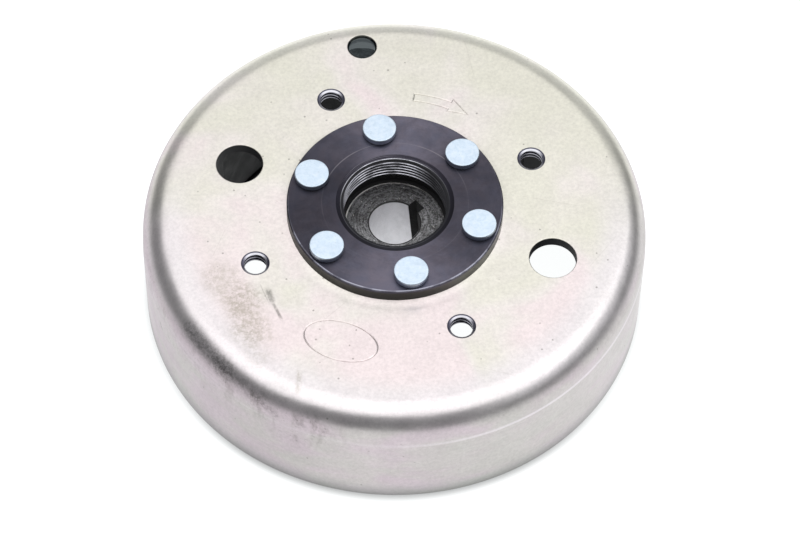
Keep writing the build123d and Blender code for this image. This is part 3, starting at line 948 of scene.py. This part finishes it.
    in_recess = times(tree, between(tree, radius, FLOOR_RADIUS - 0.02, FLOOR_RADIUS + 0.02, 1, 0),
                      between(tree, height, RECESS_FLOOR + 0.4, RECESS_FLOOR + 0.6, 1, 0))
    floor_rings = round_the_axis(tree, where, radius, height, 2.6, 2.2)
    floor_marks = blotches(tree, floor_rings, 0.9, 5.0, 0.8)
    grit = between(tree, calc(tree, "ADD", times(tree, floor_marks, 0.5),
                              times(tree, blotches(tree, where, 0.4, 4.0, 0.8), 0.5)), 0.42, 0.60)
    floor_color = blend(tree, grit, (0.090, 0.088, 0.088, 1), (0.50, 0.50, 0.52, 1))
    # Painted light: the recess floor is lighter towards the front right and darker towards the back
    # left.
    floor_light = between(tree, node(tree, "VectorMath", {0: where, 1: (0.5, -0.86, 0)},
                                     operation="DOT_PRODUCT").outputs["Value"], -9, 7, 0.60, 1.20)
    floor_color = lightened(tree, floor_color, floor_light)
    flecks = between(tree, blotches(tree, where, 0.5, 2.0, 0.6), 0.66, 0.72)
    floor_color = blend(tree, flecks, floor_color, (0.70, 0.69, 0.67, 1))
    # Painted highlight: a pale line round the floor's edge, on one side only.
    leftward = calc(tree, "DIVIDE", calc(tree, "SUBTRACT", y, times(tree, x, 0.9)), radius)
    floor_rim_highlight = times(tree, between(tree, radius, FLOOR_RADIUS - 0.36, FLOOR_RADIUS - 0.28),
                     between(tree, leftward, -0.2, 0.6))
    floor_color = blend(tree, floor_rim_highlight, floor_color, (0.92, 0.90, 0.88, 1))
    color = blend(tree, in_recess, color, floor_color)

    taper_radius = calc(tree, "ADD",
                        times(tree, calc(tree, "SUBTRACT", RECESS_FLOOR, height), TAPER),
                        BORE_SMALL)
    past_bore = calc(tree, "SUBTRACT", radius, taper_radius)
    inside = times(tree, between(tree, past_bore, 0.03, 0.06, 1, 0),
                   between(tree, height, RECESS_FLOOR - 0.12, RECESS_FLOOR - 0.02, 1, 0))
    chatter = between(tree, blotches(tree, stretched(tree, where, 1, 1, 0.5), 1.6, 3.0), 0.3, 0.7,
                      0.92, 1.04)
    steel = lightened(tree, (*BARE_STEEL, 1), chatter)
    right_side = calc(tree, "DIVIDE",
                      node(tree, "VectorMath", {0: where, 1: (math.cos(0.2), math.sin(0.2), 0)},
                           operation="DOT_PRODUCT").outputs["Value"], radius)
    shaded = between(tree, right_side, 0.78, 0.86)
    steel = blend(tree, shaded, steel, (0.012, 0.012, 0.013, 1))
    color = blend(tree, inside, color, steel)
    bore_edge = times(tree, between(tree, radius, BORE_SMALL + 0.34, BORE_SMALL + 0.40, 1, 0),
                      between(tree, height, RECESS_FLOOR - 0.19, RECESS_FLOOR - 0.15))
    edge_mark = times(tree, bore_edge,
                      between(tree, height, RECESS_FLOOR + 0.4, RECESS_FLOOR + 0.6, 1, 0))
    color = blend(tree, edge_mark, color, (0.022, 0.021, 0.021, 1))
    # Oxide and painted shade: the keyway is painted near black and dull, darker than the oxide
    # round it.
    turn = math.radians(KEYWAY_ANGLE)
    slotwise = node(tree, "VectorMath", {0: where, 1: (math.cos(turn), math.sin(turn), 0)},
                    operation="DOT_PRODUCT").outputs["Value"]
    in_slot = times(tree, between(tree, past_bore, 0.06, 0.12),
                    times(tree, between(tree, slotwise, SLOT_NEAR, SLOT_NEAR + 0.2),
                          between(tree, height, RECESS_FLOOR - 0.10, RECESS_FLOOR - 0.02, 1, 0)))
    keyway_shade = times(tree, in_slot, between(tree, radius, SLOT_FAR, SLOT_FAR + 0.1, 1, 0))
    color = blend(tree, keyway_shade, color, (*OXIDE_IN_SHADE, 1))
    tree.links.new(color, shader.inputs["Base Color"])

    dull = calc(tree, "MAXIMUM", keyway_shade, times(tree, inside, shaded))
    dull = calc(tree, "MAXIMUM", dull, calc(tree, "MAXIMUM", edge_mark, relief_shade))
    dull = calc(tree, "MAXIMUM", dull,
                times(tree, in_thread, calc(tree, "SUBTRACT", 1.0, crest_highlight)))
    tree.links.new(calc(tree, "SUBTRACT", 1.0, times(tree, dull, 0.95)), shader.inputs["Metallic"])
    rough = between(tree, blotches(tree, where, 3.0, 4.0, 0.7), 0.2, 0.8, 0.30, 0.42)
    rough = calc(tree, "ADD", rough, times(tree, in_recess, 0.12))
    rough = calc(tree, "ADD", rough, times(tree, dull, 0.35))
    tree.links.new(rough, shader.inputs["Roughness"])
    shader.inputs["Anisotropic"].default_value = 0.62
    tangent = node(tree, "Tangent", {}, direction_type="RADIAL", axis="Z").outputs[0]
    tree.links.new(tangent, shader.inputs["Tangent"])
    lines = raised(tree, streak, 0.008)
    pitted = raised(tree, times(tree, grit, in_recess), 0.05, 1.0, lines)
    tree.links.new(pitted, shader.inputs["Normal"])
    return material


oxide = black_oxide()
print("black oxide nodes:", len(oxide.node_tree.nodes))

# %% [markdown]
# The hub is turned in one outline, from the flange's rim over the face, down the dished mouth and
# the threaded recess, through the taper and round the nose. The tap then cuts the puller's thread,
# and a straight slot along the taper makes the keyway.

# %% The hub
THREAD_START = 25.95             # the tap's first turn, inside the relief groove
FLANGE_RADIUS = 24.1
COLLAR_RADIUS, COLLAR_BOTTOM = 15.0, 22.5
NOSE_RADIUS, NOSE_BOTTOM = 13.0, 3.5
BORE_LARGE = BORE_SMALL + TAPER * (RECESS_FLOOR - NOSE_BOTTOM)
BORE_BREAK = 0.35                # the broken edge where the taper meets the floor


def hub_outline():
    """Radius and height pairs round the section of the hub."""
    thread_top = FLANGE_FACE - 0.3
    outline = [(RECESS_MOUTH + 0.04, FLANGE_FACE)]
    outline += bend((FLANGE_RADIUS - 0.4, FLANGE_FACE - 0.4), 0.4, 90, 0, 6)
    outline += [(FLANGE_RADIUS, PLATE_FACE), (COLLAR_RADIUS, PLATE_FACE),
                (COLLAR_RADIUS, COLLAR_BOTTOM)]
    outline += [(NOSE_RADIUS, COLLAR_BOTTOM - 2), (NOSE_RADIUS, NOSE_BOTTOM + 0.5)]
    outline += [(NOSE_RADIUS - 0.5, NOSE_BOTTOM), (BORE_LARGE + 0.3, NOSE_BOTTOM)]
    outline += [(BORE_LARGE - 0.03, NOSE_BOTTOM + 0.3), (BORE_SMALL + 0.01, RECESS_FLOOR - 0.2)]
    outline += [(BORE_SMALL + BORE_BREAK, RECESS_FLOOR), (FLOOR_RADIUS - 0.32, RECESS_FLOOR)]
    outline += [(FLOOR_RADIUS, RECESS_FLOOR - 0.05), (FLOOR_RADIUS, RELIEF_BOTTOM)]
    outline += [(MOUTH, RELIEF_BOTTOM), (MOUTH, RELIEF_TOP), (PULLER_MINOR, RELIEF_TOP)]
    outline += [(PULLER_MINOR, thread_top - 0.35), (MOUTH, thread_top),
                (RECESS_MOUTH, FLANGE_FACE - 0.03)]
    return outline


def keyway_cutter():
    """A bar along the taper, its outer side as deep as the key and sloped like the bore."""
    shape = bmesh.new()
    low, high = NOSE_BOTTOM - 1, RECESS_FLOOR + 0.9
    half = KEYWAY_WIDTH / 2
    ends = []
    for height in (low, high):
        reach = BORE_SMALL + KEYWAY_DEPTH + TAPER * (RECESS_FLOOR - height)
        corners = [(0, -half), (reach, -half), (reach, half), (0, half)]
        ends.append([shape.verts.new(Vector((x, y, height)) * MM) for x, y in corners])
    for side in range(4):
        ahead = (side + 1) % 4
        shape.faces.new((ends[0][side], ends[0][ahead], ends[1][ahead], ends[1][side]))
    shape.faces.new(ends[0][::-1])
    shape.faces.new(ends[1])
    bmesh.ops.rotate(shape, verts=shape.verts,
                     matrix=Matrix.Rotation(math.radians(KEYWAY_ANGLE), 3, "Z"))
    bmesh.ops.recalc_face_normals(shape, faces=shape.faces)
    return to_object("key", shape)


hub = to_object("hub_body", turned(hub_outline()))
combine(hub, tap((0, 0), PULLER_MINOR, PITCH, RELIEF_BOTTOM + 1.0, 40, THREAD_START, 6, 192))
combine(hub, keyway_cutter())
for place in ring_places(RIVET_CIRCLE, RIVET_START, RIVETS):
    cut(hub, [(0, 26), (RIVET_SHANK + RIVET_FREE, 26), (RIVET_SHANK + RIVET_FREE, 34), (0, 34)],
        place, 48)
smooth(hub)
hub.data.materials.clear()
hub.data.materials.append(oxide)
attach(hub, "root")
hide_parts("hub")
print("hub:", len(hub.data.polygons), "faces")

# %% [markdown]
# Six rivets hold the hub to the cup. Their flat heads were squeezed by a press, so no two are quite
# alike: the rim bulges a little, the face is not quite flat, and the zinc on it has a cold, frosty
# look. A different seed for each one gives it its own small dents.

# %% Rivets
HEAD_RADIUS, HEAD_HEIGHT = 3.82, 1.6
TAIL_RADIUS, TAIL_HEIGHT = 3.7, 1.5


def frosty_zinc():
    material, tree, shader = new_material("frosty_zinc")
    where, radius, height = object_place(tree)
    frost = blotches(tree, where, 1.1, 5.0, 0.72, 0.4)
    color = shades(tree, between(tree, frost, 0.28, 0.72), (0.0, (0.62, 0.73, 0.85)),
                   (0.45, (0.68, 0.79, 0.91)), (1.0, (0.74, 0.83, 0.93)))
    dots = node(tree, "TexVoronoi", {"Vector": where, "Scale": 1.15}).outputs["Distance"]
    rare = between(tree, blotches(tree, where, 2.2, 1.0), 0.50, 0.60)
    dot = times(tree, between(tree, dots, 0.07, 0.15, 1, 0), rare)
    color = blend(tree, times(tree, dot, 0.4), color, (0.25, 0.28, 0.31, 1))
    skirt = between(tree, height, FLANGE_FACE + 0.9, FLANGE_FACE + 1.45, 1, 0)
    color = blend(tree, times(tree, skirt, 0.55), color, (0.20, 0.23, 0.27, 1))
    tree.links.new(color, shader.inputs["Base Color"])
    shader.inputs["Metallic"].default_value = 1.0
    tree.links.new(between(tree, frost, 0.2, 0.8, 0.44, 0.36), shader.inputs["Roughness"])
    fine = raised(tree, blotches(tree, where, 0.2, 4.0, 0.7), 0.008)
    tree.links.new(raised(tree, frost, 0.03, 1.0, fine), shader.inputs["Normal"])
    return material


def rivet_outline(rng):
    """Radius and height pairs of one rivet, from the middle of its head to that of its tail."""
    top = FLANGE_FACE + HEAD_HEIGHT
    edge = rng.uniform(0.16, 0.26)
    outline = [(0, top)] + [(HEAD_RADIUS * share, top) for share in (0.2, 0.4, 0.6, 0.75, 0.88)]
    outline += bend((HEAD_RADIUS - edge, top - edge), edge, 90, 8, 6)
    outline += [(HEAD_RADIUS, FLANGE_FACE + 0.55 * HEAD_HEIGHT),
                (HEAD_RADIUS - 0.05, FLANGE_FACE + 0.12)]
    outline += [(HEAD_RADIUS - 0.15, FLANGE_FACE), (RIVET_SHANK, FLANGE_FACE),
                (RIVET_SHANK, PLATE_UNDER)]
    outline += [(TAIL_RADIUS - 0.1, PLATE_UNDER), (TAIL_RADIUS, PLATE_UNDER - 0.12)]
    outline += bend((TAIL_RADIUS - 1.1, PLATE_UNDER - 0.4), 1.1, 0, -90, 8)
    return outline + [(0, PLATE_UNDER - TAIL_HEIGHT)]


def rivet(number, place):
    rng = random.Random(60 + number)
    shape = turned(rivet_outline(rng), 96, place)
    shift = Vector([rng.uniform(0, 50) for axis in range(3)])
    for vert in shape.verts:
        if vert.co.z > (FLANGE_FACE + 0.3) * MM:
            offset = noise.noise(vert.co / MM / 2.6 + shift)
            vert.co.z += 0.05 * offset * MM
            outward = Vector((vert.co.x - place[0] * MM, vert.co.y - place[1] * MM, 0))
            vert.co += 0.008 * noise.noise(outward / MM / 3 + shift) * outward
    made = to_object(f"rivet_head_{number}", shape)
    smooth(made, 40)
    made.data.materials.append(frosty)
    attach(made, "root")
    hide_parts(f"rivet_{number}")


frosty = frosty_zinc()
for number, place in enumerate(ring_places(RIVET_CIRCLE, RIVET_START, RIVETS), start=1):
    rivet(number, place)

# %% [markdown]
# Six arc magnets line the wall. They are ferrite, a ceramic pressed from powder, fired and then
# ground: matte, with faint grinding marks along the bore, and painted near black, darker than
# charcoal-grey ferrite, as painted shade inside the cup.
# The cage that spaces them is moulded from black nylon, glossy and slightly wavy, and a peg on it
# fills the hole in the plate.

# %% Ferrite and nylon
def ferrite():
    material, tree, shader = new_material("ferrite")
    where, radius, height = object_place(tree)
    cloud = blotches(tree, where, 4.0, 5.0, 0.7)
    # Painted shade: near black, far darker than ferrite, as the shade inside the cup.
    color = shades(tree, between(tree, cloud, 0.3, 0.7), (0.0, (0.006, 0.006, 0.007)),
                   (1.0, (0.013, 0.013, 0.014)))
    strokes = blotches(tree, stretched(tree, where, 1, 1, 7), 2.2, 3.0, 0.6)
    color = blend(tree, between(tree, strokes, 0.5, 0.75, 0, 0.35), color,
                  (0.022, 0.022, 0.024, 1))
    tree.links.new(color, shader.inputs["Base Color"])
    tree.links.new(between(tree, cloud, 0.3, 0.7, 0.5, 0.68), shader.inputs["Roughness"])
    shader.inputs["Specular IOR Level"].default_value = 0.1
    grain = raised(tree, blotches(tree, where, 0.25, 4.0, 0.75), 0.02)
    tree.links.new(raised(tree, strokes, 0.02, 1.0, grain), shader.inputs["Normal"])
    return material


def black_nylon(name, dark, light, gloss, specular):
    material, tree, shader = new_material(name)
    where, radius, height = object_place(tree)
    haze = blotches(tree, where, 3.5, 4.0, 0.65)
    color = shades(tree, between(tree, haze, 0.3, 0.7), (0.0, dark), (1.0, light))
    tree.links.new(color, shader.inputs["Base Color"])
    tree.links.new(between(tree, haze, 0.25, 0.75, gloss, gloss + 0.08),
                   shader.inputs["Roughness"])
    shader.inputs["Specular IOR Level"].default_value = specular
    skin = raised(tree, blotches(tree, where, 0.3, 3.0, 0.6), 0.004)
    tree.links.new(raised(tree, blotches(tree, where, 2.5, 2.0), 0.05, 1.0, skin),
                   shader.inputs["Normal"])
    return material


# %% [markdown]
# The cage is two rings joined by six pillars, with a window for each magnet between them. Every
# moulded edge gets a small radius, because a sharp one would not fill in the mould.

# %% Magnets and their cage
MAGNETS, MAGNET_START, MAGNET_ARC = 6, 130.0, 50.0
MAGNET_BORE, CAGE_BORE, CAGE_BOTTOM = 43.2, 42.6, 1.8
MAGNET_BOTTOM, MAGNET_TOP = 3.2, 22.8
PILLAR_ARC = 9.0
PEG_SLOPE, PEG_RIDGE = 40.0, 0.35 # the tip's slope, and how far past the middle it starts
GAP = 0.05                        # left all round where one piece sits in another


def rounded(corners, radius, steps=3):
    """A closed outline of (radius, height) corners with each one rounded off."""
    outline = []
    count = len(corners)
    for place in range(count):
        before, here, after = (Vector(corners[(place + k) % count]) for k in (-1, 0, 1))
        first = here + radius * (before - here).normalized()
        last = here + radius * (after - here).normalized()
        for step in range(steps + 1):
            share = step / steps
            outline.append(tuple((1 - share) ** 2 * first + 2 * share * (1 - share) * here
                                 + share ** 2 * last))
    return outline


def peg_slope():
    """A block that slopes the peg's tip off towards the hub, from a ridge just past its middle."""
    x, y, z = on_plate(PEG_CIRCLE, PEG_ANGLE, PLATE_FACE - 0.15)
    shape = bmesh.new()
    bmesh.ops.create_cube(shape, size=8 * MM)
    bmesh.ops.translate(shape, verts=shape.verts, vec=Vector((0, -4, 4)) * MM)
    bmesh.ops.rotate(shape, verts=shape.verts,
                     matrix=Matrix.Rotation(math.radians(PEG_SLOPE), 3, "X"))
    bmesh.ops.translate(shape, verts=shape.verts, vec=Vector((x, y - PEG_RIDGE, z)) * MM)
    return to_object("slope", shape)


def cage():
    """The two rings, the pillars and the peg, joined into one moulding."""
    outer = CUP_BORE - GAP
    upper, lower = MAGNET_TOP + 0.1, MAGNET_BOTTOM - 0.1
    inner_bend = SHOULDER - PLATE
    top = PLATE_UNDER - GAP
    ring = [(CAGE_BORE, upper), (outer - 0.15, upper), (outer - inner_bend, top), (CAGE_BORE, top)]
    made = to_object("cage", turned(rounded(ring, 0.35)))
    foot = [(CAGE_BORE, CAGE_BOTTOM), (outer, CAGE_BOTTOM), (outer, lower), (CAGE_BORE, lower)]
    combine(made, to_object("foot", turned(rounded(foot, 0.35))), "UNION")
    for step in range(MAGNETS):
        angle = MAGNET_START + 360 / MAGNETS * (step + 0.5)
        pillar = ring_block(CAGE_BORE + 0.02, outer - 0.02, lower - 0.6, upper + 0.6, angle,
                            PILLAR_ARC, 12, 0.3)
        combine(made, pillar, "UNION")
    radius = PEG_HOLE - 0.03
    dome, rim = 0.6, PLATE_FACE - 0.7
    peg = [(0, PLATE_UNDER - 0.8), (radius, PLATE_UNDER - 0.8), (radius, rim - 0.1)]
    for step in range(10):
        turn = math.radians(9 * step)
        peg.append((radius * math.cos(turn), rim + dome * math.sin(turn)))
    peg.append((0, rim + dome))
    post = to_object("peg", turned(peg, 96, on_plate(PEG_CIRCLE, PEG_ANGLE)[:2]))
    combine(post, peg_slope())
    combine(made, post, "UNION")
    smooth(made, 40)
    made.data.materials.clear()
    made.data.materials.append(black_nylon("black_nylon", (0.006, 0.006, 0.007),
                                           (0.012, 0.012, 0.013), 0.42, 0.04))
    made.data.materials.append(black_nylon("peg_tip", (0.003, 0.005, 0.008), (0.005, 0.009, 0.013),
                                           0.12, 1.0))
    wet_look = made.data.materials[1].node_tree.nodes["Principled BSDF"]
    wet_look.inputs["IOR"].default_value = 1.6
    wet_look.inputs["Specular Tint"].default_value = (0.86, 0.97, 1.0, 1)
    for face in made.data.polygons:
        face.material_index = int(face.center.z > (PLATE_UNDER + 0.05) * MM)
    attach(made, "root")
    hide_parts("magnet_cage")
    return made


def magnet(number, material):
    angle = MAGNET_START + 360 / MAGNETS * (number - 1)
    made = ring_block(MAGNET_BORE, CUP_BORE - GAP, MAGNET_BOTTOM, MAGNET_TOP, angle, MAGNET_ARC,
                      48, 0.45)
    made.name = f"magnet_block_{number}"
    smooth(made, 40)
    made.data.materials.append(material)
    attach(made, "root")
    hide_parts(f"magnet_{number}")
    return made


print("cage:", len(cage().data.polygons), "faces")
ground = ferrite()
print("magnets:", [magnet(number, ground).name for number in range(1, MAGNETS + 1)])

# %% [markdown]
# The box round the finished pieces is printed, in millimetres.

# %% Size of the finished pieces
low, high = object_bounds()
print("finished pieces, mm:", [round(side / MM, 2) for side in high - low])
